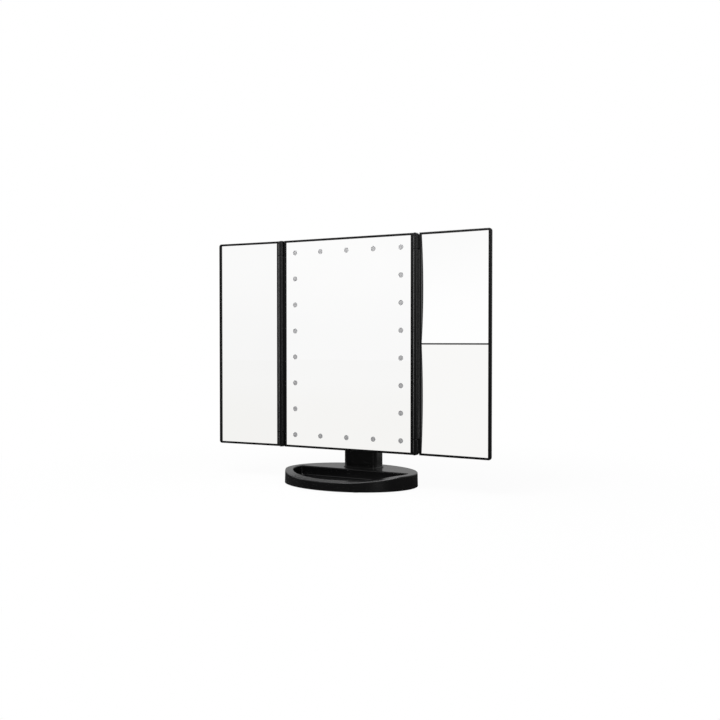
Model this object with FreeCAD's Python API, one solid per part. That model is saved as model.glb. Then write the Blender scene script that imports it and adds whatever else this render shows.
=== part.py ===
"""Tri-fold lighted makeup mirror on an oval tray base, as separate pieces, in millimetres.

The origin is the middle of the base on the table, +Z is up, the mirror faces -Y, and +X is to the right of
someone who looks at the mirror.
"""
import FreeCAD
import Part
import math
import os

V = FreeCAD.Vector
AXIS_X = V(1, 0, 0)
AXIS_Y = V(0, 1, 0)
AXIS_Z = V(0, 0, 1)

# Centre panel
PANEL_W = 170.4
PANEL_H = 244.6
PANEL_D = 21.0
PANEL_FRONT_Y = -10.0
PANEL_BOTTOM_Z = 39.6
PANEL_CORNER_R = 0.4
FRAME_D = 9.0
SIDE_RIM = 3.15
END_RIM = 2.4
RIM_SOFT_R = 0.5
FRAME_FLOOR = 1.8
GLASS_T = 2.0
GLASS_SETBACK = 0.3
GLASS_CLEAR = 0.15
TAPE_T = 0.6
TAPE_W = 6.5
TAPE_INSET = 1.0
COVER_WALL = 1.8
COVER_EDGE_R = 4.0

# Lights in the centre mirror
LED_COLUMNS = 5
LED_ROWS = 8
LED_SIDE_MARGIN = 12.2
LED_END_MARGIN = 12.55
LENS_D = 5.8
LENS_CLEAR = 0.05
LED_HOLE_D = 7.0
LED_SIZE = 3.5
LED_T = 1.4
LED_BOARD_W = 9.0
LED_BOARD_T = 1.2

# Wing hinges
BARREL_R = 3.2
BARREL_GAP = 0.65
AXIS_FORWARD = 0.3
KNUCKLE_L = 17.0
KNUCKLE_SPLIT = 0.9
KNUCKLE_END_R = 0.4
KNUCKLE_SLANT = 2.0
KNUCKLE_NOTCH = 3.0
BARREL_END_R = 0.2
HINGE_WEB_T = 2.7
PIN_R = 1.2
PIN_FIT = 0.01
PIN_RUN = 0.05
PIN_IN_BARREL = 14.0
PIN_END_INSET = 1.0
STOP_GAP = 0.3
STOP_DROP = 3.0
FIN_D = 2.5
FIN_SIDE = 0.5

# Wings
WING_EDGE_GAP = 0.35
WING_MEETING_GAP = 0.5
WING_SHORTER = 0.3
WING_D = 6.5
WING_FLOOR = 1.2
WING_HINGE_RIM = 2.75
WING_OUTER_RIM = 3.4
WING_END_RIM = 2.3
WING_BACK_R = 5.0
WING_CORNER_R = 3.0
WING_POCKET_R = 1.2
FOAM_INSET = 3.0
WING_MIRROR_SETBACK = 0.8
CONCAVE_SETBACK = 0.5
CONCAVE_T = 1.5
UPPER_RADIUS = 900.0
LOWER_RADIUS = 1200.0
DIVIDER_W = 1.3
DIVIDER_RISE = 0.4
LEFT_REST_DEG = 3.4
RIGHT_REST_DEG = 2.1

# Neck and tilt hinge
NECK_W = 43.0
NECK_FRONT_Y = 18.8
NECK_BACK_Y = 43.6
NECK_WALL = 2.4
NECK_CORNER_R = 7.0
NECK_COLLAR = 1.2
NECK_COLLAR_H = 1.2
NECK_SOLID_FOOT = 8.0
NECK_SOLID_TOP = 6.5
NECK_TOP_R = 1.5
CLAMP_SCREW_X = 13.0
CLAMP_GRIP = 5.0
FOOT_SCREW_X = 8.0
TILT_Y = 26.4
TILT_Z = 63.6
TONGUE_W = 20.0
TONGUE_R = 7.4
EAR_R = 7.5
EAR_T = 8.0
EAR_SIDE_GAP = 0.6
EAR_SHOULDER_GAP = 2.3
EAR_SOFT_R = 1.0
EAR_ROOT_RISE = 6.0
WASHER_T = 0.5
WASHER_R = 6.5
SHAFT_R = 2.5
SHAFT_FIT = 0.02
SHAFT_RUN = 0.05
SHAFT_HEAD_R = 4.5
SHAFT_HEAD_T = 2.6
HEAD_POCKET_CLEAR = 0.3
HEAD_INSET = 0.6
NUT_T = 3.0

# Base
BASE_A = 81.2
BASE_B = 62.0
BASE_DRAFT = 0.4
DECK_Z = 16.3
DECK_T = 2.0
BASE_WALL = 2.2
BASE_SOFT_R = 1.0
SLOPE_START_Y = -20.0
SLOPE_RISE = 0.14
SLOPE_BLEND_R = 80.0
RIM_SIDE_W = 9.0
RIM_FRONT_W = 10.5
TRAY_BACK_Y = 6.5
TRAY_FLOOR_Z = 5.0
TRAY_FLOOR_R = 1.5
TRAY_CORNER_R = 2.0
TRAY_LIP_R = 1.2
FOOT_PROUD = 0.8
FOOT_RECESS = 0.8
FOOT_R = 6.0
FOOT_SOFT_R = 0.4
FOOT_INSET = 9.5
FOOT_ANGLE_DEG = 62.0
PLATE_T = 2.0
PLATE_CLEAR = 0.2
PLATE_SCREW_SUNK = 0.2
BASE_SCREW_INSET = 4.3
BASE_SCREW_REAR_DEG = 35.0
BASE_SCREW_FRONT_DEG = -45.0
BALLAST_T = 9.0
BALLAST_CLEAR = 1.5
TENON_INSET = 5.0
TENON_CLEAR = 0.15
TENON_BOTTOM_Z = 7.2
SOCKET_WALL = 2.5

# Screws: the thin ones hold the boards, the others the housings
SCREW_R = 1.3
SCREW_HEAD_R = 2.6
SCREW_HEAD_T = 1.9
SCREW_POCKET_CLEAR = 0.3
SCREW_FIT = 0.02
SCREW_POST_R = 3.2
SCREW_GRIP = 8.0
SCREW_SUNK = 0.8
SCREW_SEAT = 1.6
COVER_SCREW_INSET_Z = 16.0
THIN_SCREW_R = 0.9
THIN_HEAD_R = 1.8
THIN_HEAD_T = 1.0
THIN_POST_R = 2.4
THIN_GRIP = 4.5
DRIVE_REACH = 0.6
DRIVE_SLOT = 0.14

# Power: four AAA cells behind a lift-off cover, boards, socket and switch
CELL_R = 5.25
CELL_L = 43.6
CELL_NUB_R = 1.9
CELL_NUB_L = 0.9
CELL_COUNT = 4
CELL_GAP = 0.4
CELL_TO_COVER = 0.25
CONTACT_T = 0.5
CONTACT_SIDE = 8.0
SPRING_L = 3.6
SPRING_R = 3.2
SPRING_TIP_R = 1.8
BAY_WALL = 1.2
BAY_LEDGE = 2.2
BAY_LEDGE_T = 1.6
BAY_BOTTOM_Z = 101.6
BATTERY_COVER_T = 1.6
BATTERY_COVER_CLEAR = 0.3
BATTERY_SEAT_GAP = 0.3
BATTERY_COVER_CORNER_R = 2.0
GRIP_GROOVES = 4
GRIP_PITCH = 2.4
GRIP_W = 1.0
GRIP_DEPTH = 0.5
GRIP_L = 16.0
GRIP_INSET = 6.0
BOARD_W = 104.0
BOARD_BOTTOM_Z = 44.6
BOARD_TOP_Z = 87.6
BOARD_T = 1.2
BOARD_DEPTH = 10.7
BOARD_POST_X = 44.0
BOARD_POST_LOW_Z = 65.6
BOARD_POST_HIGH_Z = 81.6
SOCKET_X = 34.0
SOCKET_W = 8.9
SOCKET_T = 3.2
SOCKET_L = 7.0
SOCKET_BACK = 1.0
SOCKET_SHELL = 0.35
SOCKET_TONGUE_T = 0.7
SOCKET_TONGUE_SIDE = 1.0
SOCKET_MOUTH_INSET = 0.3
SOCKET_CLEAR = 0.25
SOCKET_CORNER_R = 1.4
SWITCH_X = -34.0
SWITCH_Z = 73.6
SWITCH_W = 12.0
SWITCH_H = 6.0
SWITCH_TRAVEL = 4.0
SWITCH_GAP = 0.2
KNOB_W = 4.0
KNOB_H = 3.6
KNOB_PROUD = 1.2
KNOB_CLEAR = 0.3
KNOB_FLANGE = 1.6
KNOB_FLANGE_T = 0.9
KNOB_RIB = 0.5
SCOOP_MARGIN = 2.5
SCOOP_DEPTH = 0.6
TOUCH_R = 5.0
TOUCH_ABOVE_LED = 16.0
LEAD_R = 0.6
LEAD_CLEAR = 0.05
LEAD_LAP = 2.0
LIGHT_LEAD_X = 20.0

# Places worked out from the sizes
PANEL_TOP_Z = PANEL_BOTTOM_Z + PANEL_H
PANEL_MID_Z = PANEL_BOTTOM_Z + PANEL_H / 2
PANEL_HALF_W = PANEL_W / 2
POCKET_HALF_W = PANEL_HALF_W - SIDE_RIM
POCKET_BOTTOM_Z = PANEL_BOTTOM_Z + END_RIM
POCKET_TOP_Z = PANEL_TOP_Z - END_RIM
GLASS_BACK = GLASS_SETBACK + GLASS_T
FLOOR_FRONT = GLASS_BACK + TAPE_T
FLOOR_BACK = FLOOR_FRONT + FRAME_FLOOR
COVER_INSIDE = PANEL_D - COVER_WALL
LED_HALF_W = POCKET_HALF_W - LED_SIDE_MARGIN
LED_HALF_H = PANEL_H / 2 - END_RIM - LED_END_MARGIN
LED_BOTTOM_Z = PANEL_MID_Z - LED_HALF_H
HINGE_X = PANEL_HALF_W + BARREL_GAP + BARREL_R
WING_INNER_X = HINGE_X + BARREL_R + WING_EDGE_GAP
WING_OUTER_X = 2 * HINGE_X - WING_MEETING_GAP / 2
WING_H = PANEL_H - WING_SHORTER
WING_BOTTOM_Z = PANEL_MID_Z - WING_H / 2
WING_TOP_Z = PANEL_MID_Z + WING_H / 2
WING_FLOOR_FRONT = WING_D - WING_FLOOR
PANE_X0 = WING_INNER_X + WING_HINGE_RIM
PANE_X1 = WING_OUTER_X - WING_OUTER_RIM
BARREL_BOTTOM_Z = WING_BOTTOM_Z + KNUCKLE_L + KNUCKLE_SPLIT
BARREL_TOP_Z = WING_TOP_Z - KNUCKLE_L - KNUCKLE_SPLIT
SCREW_X = (POCKET_HALF_W + LED_HALF_W + LED_BOARD_W / 2) / 2
SCREW_SEAT_DEPTH = PANEL_D - SCREW_SUNK - SCREW_HEAD_T
POST_END = SCREW_SEAT_DEPTH - SCREW_SEAT
SHOULDER_Z = TILT_Z - EAR_R - EAR_SHOULDER_GAP
EAR_INNER_X = TONGUE_W / 2 + EAR_SIDE_GAP
EAR_OUTER_X = EAR_INNER_X + EAR_T
NECK_MID_Y = (NECK_FRONT_Y + NECK_BACK_Y) / 2
CLAMP_SEAT_Y = NECK_BACK_Y - SCREW_SUNK - SCREW_HEAD_T
CLAMP_END_Y = TILT_Y - CLAMP_GRIP
PLATE_TOP_Z = FOOT_PROUD + PLATE_T
PLATE_SEAT_Z = FOOT_PROUD + PLATE_SCREW_SUNK + THIN_HEAD_T
BAY_W = CELL_COUNT * 2 * CELL_R + (CELL_COUNT + 1) * CELL_GAP
BAY_L = CELL_L + CELL_NUB_L + SPRING_L + 2 * CONTACT_T
BAY_TOP_Z = BAY_BOTTOM_Z + BAY_L
COVER_SEAT = PANEL_D - BATTERY_COVER_T - BATTERY_SEAT_GAP
CELL_AXIS = COVER_SEAT - CELL_TO_COVER - CELL_R
BAY_FLOOR = CELL_AXIS - CELL_R - CELL_TO_COVER
BOARD_BACK = BOARD_DEPTH + BOARD_T
LEAD_DEPTH = BOARD_BACK + LEAD_R
KNOB_FLANGE_TOP = COVER_INSIDE - SWITCH_GAP
SWITCH_TOP = KNOB_FLANGE_TOP - KNOB_FLANGE_T - SWITCH_GAP


def deep(depth):
    """World Y of a place so far behind the panel's front plane."""
    return PANEL_FRONT_Y + depth


def box(x0, x1, y0, y1, z0, z1):
    return Part.makeBox(x1 - x0, y1 - y0, z1 - z0, V(x0, y0, z0))


def rod(axis, radius, length, x, y, z):
    return Part.makeCylinder(radius, length, V(x, y, z), axis)


def group(solids):
    return Part.makeCompound(solids)


def mirrored(shape):
    return shape.mirror(V(0, 0, 0), AXIS_X)


def straight_edges(shape, axis):
    lines = [edge for edge in shape.Edges if edge.Curve.TypeId == "Part::GeomLine"]
    return [edge for edge in lines if abs(edge.Curve.Direction.dot(axis)) > 0.999]


def edges_at_y(shape, y):
    near = [edge for edge in shape.Edges if abs(edge.BoundBox.YMin - y) < 1e-4]
    return [edge for edge in near if abs(edge.BoundBox.YMax - y) < 1e-4]


def edges_at_z(shape, z):
    near = [edge for edge in shape.Edges if abs(edge.BoundBox.ZMin - z) < 1e-4]
    return [edge for edge in near if abs(edge.BoundBox.ZMax - z) < 1e-4]


def rounded_box(x0, x1, y0, y1, z0, z1, axis, radius):
    """A box whose four edges along the axis are rounded."""
    block = box(x0, x1, y0, y1, z0, z1)
    return block.makeFillet(radius, straight_edges(block, axis))


def oval(a, b, z0, z1):
    """An upright elliptical prism about the origin's axis."""
    outline = Part.Wire([Part.Ellipse(V(0, 0, z0), a, b).toShape()])
    return Part.Face(outline).extrude(V(0, 0, z1 - z0))


def side_profile(points, x0, x1):
    """A prism along X whose outline is a polygon of (y, z) points."""
    corners = [V(x0, y, z) for y, z in points]
    return Part.Face(Part.makePolygon(corners + corners[:1])).extrude(V(x1 - x0, 0, 0))


def led_places():
    """Middle (x, z) of each light, round the border of a grid of columns and rows."""
    step_x = 2 * LED_HALF_W / (LED_COLUMNS - 1)
    step_z = 2 * LED_HALF_H / (LED_ROWS - 1)
    places = []
    for column in range(LED_COLUMNS):
        for row in range(LED_ROWS):
            if column in (0, LED_COLUMNS - 1) or row in (0, LED_ROWS - 1):
                places.append((column * step_x - LED_HALF_W, LED_BOTTOM_Z + row * step_z))
    return places


def cover_screw_places():
    low = PANEL_BOTTOM_Z + COVER_SCREW_INSET_Z
    high = PANEL_TOP_Z - COVER_SCREW_INSET_Z
    return [(side * SCREW_X, z) for side in (-1, 1) for z in (low, PANEL_MID_Z, high)]


def board_screw_places():
    return [(side * BOARD_POST_X, z) for side in (-1, 1) for z in (BOARD_POST_LOW_Z, BOARD_POST_HIGH_Z)]


def screw(axis, x, y, z, length, radius, head_r, head_t):
    """A cross-head screw whose head seats on the point and whose shank runs from there along the axis."""
    head = Part.makeCylinder(head_r, head_t, V(0, 0, -head_t))
    shank = Part.makeCylinder(radius, length)
    arm = head_r * DRIVE_REACH
    slot = head_r * DRIVE_SLOT
    drive = [box(-a, a, -b, b, -head_t, -head_t / 2) for a, b in ((arm, slot), (slot, arm))]
    body = head.fuse(shank).removeSplitter().cut(drive)
    body.Placement = FreeCAD.Placement(V(x, y, z), FreeCAD.Rotation(AXIS_Z, axis))
    return body


def housing_screw(axis, x, y, z, length):
    return screw(axis, x, y, z, length, SCREW_R, SCREW_HEAD_R, SCREW_HEAD_T)


def thin_screw(axis, x, y, z, length):
    return screw(axis, x, y, z, length, THIN_SCREW_R, THIN_HEAD_R, THIN_HEAD_T)


def fixed_barrel():
    """Long middle barrel of the right hinge, joined by a web to the frame, with a pin bore in each end."""
    y = deep(-AXIS_FORWARD)
    barrel = rod(AXIS_Z, BARREL_R, BARREL_TOP_Z - BARREL_BOTTOM_Z, HINGE_X, y, BARREL_BOTTOM_Z)
    ends = edges_at_z(barrel, BARREL_BOTTOM_Z) + edges_at_z(barrel, BARREL_TOP_Z)
    barrel = barrel.makeFillet(BARREL_END_R, ends)
    low = BARREL_BOTTOM_Z + BARREL_END_R
    high = BARREL_TOP_Z - BARREL_END_R
    web = box(PANEL_HALF_W - SIDE_RIM / 2, HINGE_X, deep(0), deep(HINGE_WEB_T), low, high)
    bore_r = PIN_R + PIN_FIT
    bores = [
        rod(AXIS_Z, bore_r, PIN_IN_BARREL, HINGE_X, y, BARREL_BOTTOM_Z),
        rod(AXIS_Z, bore_r, PIN_IN_BARREL, HINGE_X, y, BARREL_TOP_Z - PIN_IN_BARREL),
    ]
    return barrel.fuse(web).cut(bores)


def wing_stops():
    """Lugs behind the right wing's knuckles, which stop the wing past flat, and fins that close the gap."""
    x0 = PANEL_HALF_W - SIDE_RIM / 2
    x1 = WING_INNER_X - STOP_GAP
    y0 = deep(BARREL_R - AXIS_FORWARD + STOP_GAP)
    low = box(x0, x1, y0, deep(FRAME_D), WING_BOTTOM_Z + STOP_DROP, BARREL_BOTTOM_Z)
    high = box(x0, x1, y0, deep(FRAME_D), BARREL_TOP_Z, WING_TOP_Z - STOP_DROP)
    fins = [
        box(x0, HINGE_X - FIN_SIDE, y0, y0 + FIN_D, WING_BOTTOM_Z, WING_BOTTOM_Z + STOP_DROP),
        box(x0, HINGE_X - FIN_SIDE, y0, y0 + FIN_D, WING_TOP_Z - STOP_DROP, WING_TOP_Z),
    ]
    return [low, high] + fins


def center_frame():
    """Front frame: rim round the glass, holed floor behind it, screw posts and the fixed hinge barrels."""
    block = rounded_box(
        -PANEL_HALF_W, PANEL_HALF_W, deep(0), deep(FRAME_D), PANEL_BOTTOM_Z, PANEL_TOP_Z,
        AXIS_Y, PANEL_CORNER_R,
    )
    block = block.makeFillet(RIM_SOFT_R, edges_at_y(block, deep(0)))
    front = panel_pocket(-RIM_SOFT_R, FLOOR_FRONT)
    rear = panel_pocket(FLOOR_BACK, FRAME_D + RIM_SOFT_R)
    holes = [rod(AXIS_Y, LED_HOLE_D / 2, FRAME_FLOOR, x, deep(FLOOR_FRONT), z) for x, z in led_places()]
    frame = block.cut([front, rear] + holes)
    posts = [
        rod(AXIS_Y, SCREW_POST_R, POST_END - FLOOR_FRONT - TAPE_T, x, deep(FLOOR_FRONT + TAPE_T), z)
        for x, z in cover_screw_places()
    ]
    board_posts = [
        rod(AXIS_Y, THIN_POST_R, BOARD_DEPTH - FLOOR_FRONT - TAPE_T, x, deep(FLOOR_FRONT + TAPE_T), z)
        for x, z in board_screw_places()
    ]
    hinge = [fixed_barrel()] + wing_stops()
    left_hinge = [mirrored(piece) for piece in hinge]
    frame = frame.fuse(posts + board_posts + hinge + left_hinge).removeSplitter()
    pilots = [
        rod(AXIS_Y, SCREW_R + SCREW_FIT, SCREW_GRIP, x, deep(POST_END - SCREW_GRIP), z)
        for x, z in cover_screw_places()
    ]
    thin_pilots = [
        rod(AXIS_Y, THIN_SCREW_R + SCREW_FIT, THIN_GRIP, x, deep(BOARD_DEPTH - THIN_GRIP), z)
        for x, z in board_screw_places()
    ]
    return frame.cut(pilots + thin_pilots)


def panel_pocket(depth0, depth1):
    """The room inside the centre frame's rim between two depths."""
    return box(-POCKET_HALF_W, POCKET_HALF_W, deep(depth0), deep(depth1), POCKET_BOTTOM_Z, POCKET_TOP_Z)


def center_mirror():
    """Flat centre glass with a round hole at each light."""
    glass = box(
        -POCKET_HALF_W + GLASS_CLEAR, POCKET_HALF_W - GLASS_CLEAR, deep(GLASS_SETBACK), deep(GLASS_BACK),
        POCKET_BOTTOM_Z + GLASS_CLEAR, POCKET_TOP_Z - GLASS_CLEAR,
    )
    holes = [
        rod(AXIS_Y, LENS_D / 2 + LENS_CLEAR, GLASS_T, x, deep(GLASS_SETBACK), z) for x, z in led_places()
    ]
    return glass.cut(holes)


def led_lenses():
    return group([rod(AXIS_Y, LENS_D / 2, GLASS_T, x, deep(GLASS_SETBACK), z) for x, z in led_places()])


def frame_ring(half_w, half_h, width, depth0, depth1):
    """A flat rectangular ring about the panel's middle."""
    y0 = deep(depth0)
    y1 = deep(depth1)
    outer = box(-half_w, half_w, y0, y1, PANEL_MID_Z - half_h, PANEL_MID_Z + half_h)
    in_w = half_w - width
    in_h = half_h - width
    return outer.cut(box(-in_w, in_w, y0, y1, PANEL_MID_Z - in_h, PANEL_MID_Z + in_h))


def mirror_tape():
    half_h = PANEL_H / 2 - END_RIM - TAPE_INSET
    return frame_ring(POCKET_HALF_W - TAPE_INSET, half_h, TAPE_W, GLASS_BACK, FLOOR_FRONT)


def led_board():
    """Ring-shaped light board on the back of the frame's floor."""
    half = LED_BOARD_W / 2
    return frame_ring(LED_HALF_W + half, LED_HALF_H + half, LED_BOARD_W, FLOOR_BACK, FLOOR_BACK + LED_BOARD_T)


def leds():
    half = LED_SIZE / 2
    chips = [
        box(x - half, x + half, deep(FLOOR_BACK - LED_T), deep(FLOOR_BACK), z - half, z + half)
        for x, z in led_places()
    ]
    return group(chips)


def touch_pad():
    return rod(AXIS_Y, TOUCH_R, TAPE_T, 0, deep(GLASS_BACK), LED_BOTTOM_Z + TOUCH_ABOVE_LED)


def bay_box(margin, depth0, depth1):
    """A block round the battery bay, wider than the cells' room by a margin on every side."""
    half = BAY_W / 2 + margin
    return box(-half, half, deep(depth0), deep(depth1), BAY_BOTTOM_Z - margin, BAY_TOP_Z + margin)


def battery_lid(margin, thickness):
    """The battery cover's plate, or its recess, flush with the back of the panel."""
    half = BAY_W / 2 + BAY_LEDGE + margin
    z0 = BAY_BOTTOM_Z - BAY_LEDGE - margin
    z1 = BAY_TOP_Z + BAY_LEDGE + margin
    y0 = deep(PANEL_D - thickness)
    return rounded_box(-half, half, y0, deep(PANEL_D), z0, z1, AXIS_Y, BATTERY_COVER_CORNER_R)


def power_lead_places():
    return [cell_x(0), cell_x(CELL_COUNT - 1)]


def cell_x(index):
    return CELL_GAP + CELL_R - BAY_W / 2 + index * (2 * CELL_R + CELL_GAP)


def tilt_ear():
    """The right-hand ear on the back of the panel: a round eye with a root that widens upward."""
    root_y = deep(COVER_INSIDE)
    outline = [
        (root_y, TILT_Z - EAR_R),
        (TILT_Y, TILT_Z - EAR_R),
        (TILT_Y, TILT_Z + EAR_R),
        (root_y, TILT_Z + EAR_R + EAR_ROOT_RISE),
    ]
    arm = side_profile(outline, EAR_INNER_X, EAR_OUTER_X)
    eye = rod(AXIS_X, EAR_R, EAR_T, EAR_INNER_X, TILT_Y, TILT_Z)
    ear = arm.fuse(eye).removeSplitter()
    outer = [edge for edge in ear.Edges if edge.BoundBox.XMin > EAR_OUTER_X - 1e-4]
    return ear.makeFillet(EAR_SOFT_R, outer)


def rear_cover():
    """Back shell of the centre panel: battery bay, tilt ears, and the switch and socket openings."""
    block = box(-PANEL_HALF_W, PANEL_HALF_W, deep(FRAME_D), deep(PANEL_D), PANEL_BOTTOM_Z, PANEL_TOP_Z)
    block = block.makeFillet(COVER_EDGE_R, edges_at_y(block, deep(PANEL_D)))
    block = block.makeFillet(PANEL_CORNER_R, straight_edges(block, AXIS_Y))
    half = PANEL_HALF_W - COVER_WALL
    room = box(
        -half, half, deep(FRAME_D), deep(COVER_INSIDE), PANEL_BOTTOM_Z + COVER_WALL, PANEL_TOP_Z - COVER_WALL
    )
    room = room.makeFillet(COVER_EDGE_R - COVER_WALL, edges_at_y(room, deep(COVER_INSIDE)))
    head_r = SCREW_HEAD_R + SCREW_POCKET_CLEAR
    cup_l = COVER_INSIDE + COVER_WALL / 2 - POST_END
    cups = [
        rod(AXIS_Y, head_r + BAY_WALL, cup_l, x, deep(POST_END), z) for x, z in cover_screw_places()
    ]
    bay = bay_box(BAY_WALL, BAY_FLOOR - BAY_WALL, COVER_INSIDE + COVER_WALL / 2)
    ledge = bay_box(BAY_LEDGE + BAY_WALL, COVER_SEAT - BAY_LEDGE_T, COVER_INSIDE + COVER_WALL / 2)
    ear = tilt_ear()
    cover = block.cut(room).fuse(cups + [bay, ledge, ear, mirrored(ear)]).removeSplitter()
    cuts = [bay_box(0, BAY_FLOOR, PANEL_D), battery_lid(BATTERY_COVER_CLEAR, PANEL_D - COVER_SEAT)]
    for x, z in cover_screw_places():
        cuts.append(rod(AXIS_Y, head_r, PANEL_D - SCREW_SEAT_DEPTH, x, deep(SCREW_SEAT_DEPTH), z))
        cuts.append(rod(AXIS_Y, SCREW_R + SCREW_FIT, SCREW_SEAT, x, deep(POST_END), z))
    for x in power_lead_places():
        cuts.append(rod(AXIS_Z, LEAD_R + LEAD_CLEAR, BAY_WALL, x, deep(LEAD_DEPTH), BAY_BOTTOM_Z - BAY_WALL))
    slot_w = KNOB_W / 2 + SWITCH_TRAVEL / 2 + KNOB_CLEAR
    slot_h = KNOB_H / 2 + KNOB_CLEAR
    cuts.append(switch_block(slot_w, slot_h, COVER_INSIDE, PANEL_D))
    cuts.append(switch_block(slot_w + SCOOP_MARGIN, slot_h + SCOOP_MARGIN, PANEL_D - SCOOP_DEPTH, PANEL_D))
    cuts.append(socket_block(SOCKET_CLEAR, PANEL_BOTTOM_Z, PANEL_BOTTOM_Z + COVER_WALL))
    cuts += tilt_bores(SHAFT_R + SHAFT_FIT, SHAFT_HEAD_R + HEAD_POCKET_CLEAR)
    return cover.cut(cuts)


def tilt_bores(bore_r, pocket_r):
    """The shaft's bore through both ears, with a pocket for its head on the left and its nut on the right."""
    head_l = SHAFT_HEAD_T + HEAD_INSET
    nut_l = NUT_T + HEAD_INSET
    return [
        rod(AXIS_X, bore_r, 2 * EAR_OUTER_X, -EAR_OUTER_X, TILT_Y, TILT_Z),
        rod(AXIS_X, pocket_r, head_l, -EAR_OUTER_X, TILT_Y, TILT_Z),
        rod(AXIS_X, pocket_r, nut_l, EAR_OUTER_X - nut_l, TILT_Y, TILT_Z),
    ]


def switch_block(half_w, half_h, depth0, depth1, middle_x=None):
    x = SWITCH_X if middle_x is None else middle_x
    return box(x - half_w, x + half_w, deep(depth0), deep(depth1), SWITCH_Z - half_h, SWITCH_Z + half_h)


def socket_block(margin, z0, z1):
    half = SOCKET_W / 2 + margin
    y0 = deep(BOARD_BACK) - margin
    y1 = deep(BOARD_BACK + SOCKET_T) + margin
    return rounded_box(SOCKET_X - half, SOCKET_X + half, y0, y1, z0, z1, AXIS_Z, SOCKET_CORNER_R)


def rear_cover_screws():
    length = SCREW_SEAT + SCREW_GRIP
    seat = deep(SCREW_SEAT_DEPTH)
    return group([housing_screw(-AXIS_Y, x, seat, z, length) for x, z in cover_screw_places()])


def control_board():
    half = BOARD_W / 2
    board = box(-half, half, deep(BOARD_DEPTH), deep(BOARD_BACK), BOARD_BOTTOM_Z, BOARD_TOP_Z)
    holes = [
        rod(AXIS_Y, THIN_SCREW_R + SCREW_FIT, BOARD_T, x, deep(BOARD_DEPTH), z)
        for x, z in board_screw_places()
    ]
    return board.cut(holes)


def board_screws():
    length = BOARD_T + THIN_GRIP
    return group([thin_screw(-AXIS_Y, x, deep(BOARD_BACK), z, length) for x, z in board_screw_places()])


def usb_socket():
    """Metal shell, closed at the inner end, with a flat tongue in its mouth, which faces down."""
    z0 = PANEL_BOTTOM_Z + SOCKET_MOUTH_INSET
    z1 = z0 + SOCKET_L
    shell = socket_block(0, z0, z1)
    half = SOCKET_W / 2 - SOCKET_SHELL
    y0 = deep(BOARD_BACK) + SOCKET_SHELL
    y1 = deep(BOARD_BACK + SOCKET_T) - SOCKET_SHELL
    top = z1 - SOCKET_BACK
    corner = SOCKET_CORNER_R - SOCKET_SHELL
    mouth = rounded_box(SOCKET_X - half, SOCKET_X + half, y0, y1, z0, top, AXIS_Z, corner)
    mid = (y0 + y1) / 2
    side = half - SOCKET_TONGUE_SIDE
    tongue = box(
        SOCKET_X - side, SOCKET_X + side, mid - SOCKET_TONGUE_T / 2, mid + SOCKET_TONGUE_T / 2,
        z0 + SOCKET_TONGUE_SIDE, z1 - SOCKET_BACK / 2,
    )
    return shell.cut(mouth).fuse(tongue).removeSplitter()


def switch_body():
    return switch_block(SWITCH_W / 2, SWITCH_H / 2, BOARD_BACK, SWITCH_TOP)


def switch_knob():
    """Slide knob at its off end: a flange inside the cover and a ribbed stem through the slot."""
    x = SWITCH_X - SWITCH_TRAVEL / 2
    flange_w = KNOB_W / 2 + SWITCH_TRAVEL + KNOB_FLANGE
    flange_h = KNOB_H / 2 + KNOB_FLANGE
    flange = switch_block(flange_w, flange_h, KNOB_FLANGE_TOP - KNOB_FLANGE_T, KNOB_FLANGE_TOP, x)
    stem = switch_block(KNOB_W / 2, KNOB_H / 2, KNOB_FLANGE_TOP - KNOB_FLANGE_T, PANEL_D + KNOB_PROUD, x)
    ribs = [
        box(
            x + place - KNOB_RIB / 2, x + place + KNOB_RIB / 2, deep(PANEL_D + KNOB_PROUD - KNOB_RIB),
            deep(PANEL_D + KNOB_PROUD), SWITCH_Z - KNOB_H / 2, SWITCH_Z + KNOB_H / 2,
        )
        for place in (-2 * KNOB_RIB, 0, 2 * KNOB_RIB)
    ]
    return flange.fuse(stem).removeSplitter().cut(ribs)


def battery_cover():
    """Lift-off plate over the cells, with finger grooves near its top edge."""
    plate = battery_lid(0, BATTERY_COVER_T)
    top = BAY_TOP_Z + BAY_LEDGE - GRIP_INSET
    grooves = [
        box(
            -GRIP_L / 2, GRIP_L / 2, deep(PANEL_D - GRIP_DEPTH), deep(PANEL_D),
            top - index * GRIP_PITCH - GRIP_W, top - index * GRIP_PITCH,
        )
        for index in range(GRIP_GROOVES)
    ]
    return plate.cut(grooves)


def battery_cells():
    """AAA cells side by side, each turned the other way round from its neighbour."""
    cells = []
    for index in range(CELL_COUNT):
        x = cell_x(index)
        y = deep(CELL_AXIS)
        nub_up = index % 2 == 0
        can_z = BAY_BOTTOM_Z + CONTACT_T + (SPRING_L if nub_up else CELL_NUB_L)
        nub_z = can_z + CELL_L if nub_up else can_z - CELL_NUB_L
        can = rod(AXIS_Z, CELL_R, CELL_L, x, y, can_z)
        nub = rod(AXIS_Z, CELL_NUB_R, CELL_NUB_L, x, y, nub_z)
        cells.append(can.fuse(nub).removeSplitter())
    return group(cells)


def battery_contacts():
    half = CONTACT_SIDE / 2
    y = deep(CELL_AXIS)
    plates = []
    for index in range(CELL_COUNT):
        x = cell_x(index)
        for z in (BAY_BOTTOM_Z, BAY_TOP_Z - CONTACT_T):
            plates.append(box(x - half, x + half, y - half, y + half, z, z + CONTACT_T))
    return group(plates)


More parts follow.
